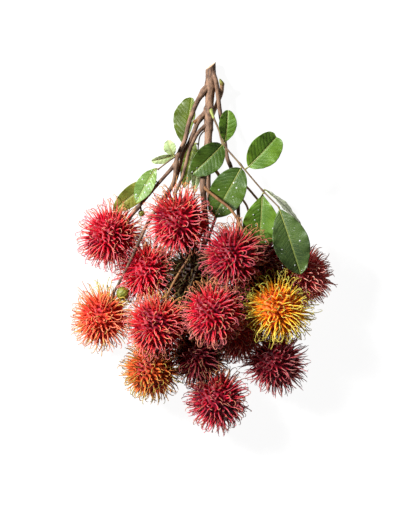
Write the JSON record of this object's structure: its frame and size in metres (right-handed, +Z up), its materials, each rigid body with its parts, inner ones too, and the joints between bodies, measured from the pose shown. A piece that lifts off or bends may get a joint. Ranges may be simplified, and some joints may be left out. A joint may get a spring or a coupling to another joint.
{
  "type": "rambutan bunch",
  "caption": "Picked bunch of spiny rambutans on a cut woody branch with side shoots and compound leaves, lying on a surface.",
  "frame": {"origin": "middle of the underside, on the surface that the fruits rest on", "axes": "+Z up from the surface, +Y along the bunch towards the cut end of the stem, +X to its right seen from above"},
  "size_m": [0.2674, 0.3756, 0.0979],
  "materials": {
    "skin_red": "leathery rind, satin, bright red with pale pink spine tips",
    "skin_crimson": "leathery rind, satin, deep crimson with tan spine tips",
    "skin_orange": "leathery rind, satin, orange red with yellow green spine tips",
    "skin_yellow": "leathery rind, satin, yellow orange with red patches and yellow green spine tips",
    "green_nub": "satin yellow green skin",
    "bark": "matt grey brown bark with pale dots",
    "fruit_stalk": "matt tan young bark",
    "leaf_stalk": "satin grey brown",
    "leaf": "waxy green blade, glossy above and paler below"
  },
  "bodies": {
    "root": {"fruit_01": "skin_red", "fruit_02": "skin_red", "fruit_03": "skin_red", "fruit_04": "skin_crimson", "fruit_05": "skin_orange", "fruit_06": "skin_red", "fruit_07": "skin_crimson", "fruit_08": "skin_yellow", "fruit_09": "skin_crimson", "fruit_10": "skin_orange", "fruit_11": "skin_crimson", "fruit_12": "skin_crimson", "fruit_13": "skin_crimson", "fruit_14": "skin_red", "fruit_15": "skin_crimson", "fruit_16": "skin_yellow", "fruit_17": "skin_yellow", "fruit_18": "skin_crimson", "nub_01": "green_nub", "nub_05": "green_nub", "main_stem": "bark", "back_shoot": "bark", "shoot_left_1": "bark", "shoot_left_2": "bark", "shoot_left_3": "bark", "right_branch": "bark", "bud_shoot": "bark", "stalk_01": "bark", "stalk_04": "fruit_stalk", "stalk_06": "fruit_stalk", "stalk_07": "fruit_stalk", "stalk_08": "fruit_stalk", "stalk_09": "fruit_stalk", "stalk_10": "fruit_stalk", "stalk_11": "fruit_stalk", "stalk_12": "fruit_stalk", "stalk_13": "fruit_stalk", "stalk_14": "fruit_stalk", "stalk_15": "fruit_stalk", "stalk_16": "fruit_stalk", "stalk_17": "fruit_stalk", "stalk_18": "fruit_stalk", "rachis_right": "leaf_stalk", "rachis_left": "leaf_stalk", "rachis_back": "leaf_stalk", "bud": "green_nub", "leaflet_right_1": "leaf", "leaflet_right_2": "leaf", "leaflet_right_3": "leaf", "leaflet_right_4": "leaf", "leaflet_right_5": "leaf", "leaflet_right_6": "leaf", "leaflet_right_7": "leaf", "leaflet_left_1": "leaf", "leaflet_left_2": "leaf", "leaflet_left_3": "leaf", "leaflet_left_4": "leaf", "leaflet_left_5": "leaf", "leaflet_back_1": "leaf", "leaflet_back_2": "leaf"}
  },
  "joints": []
}
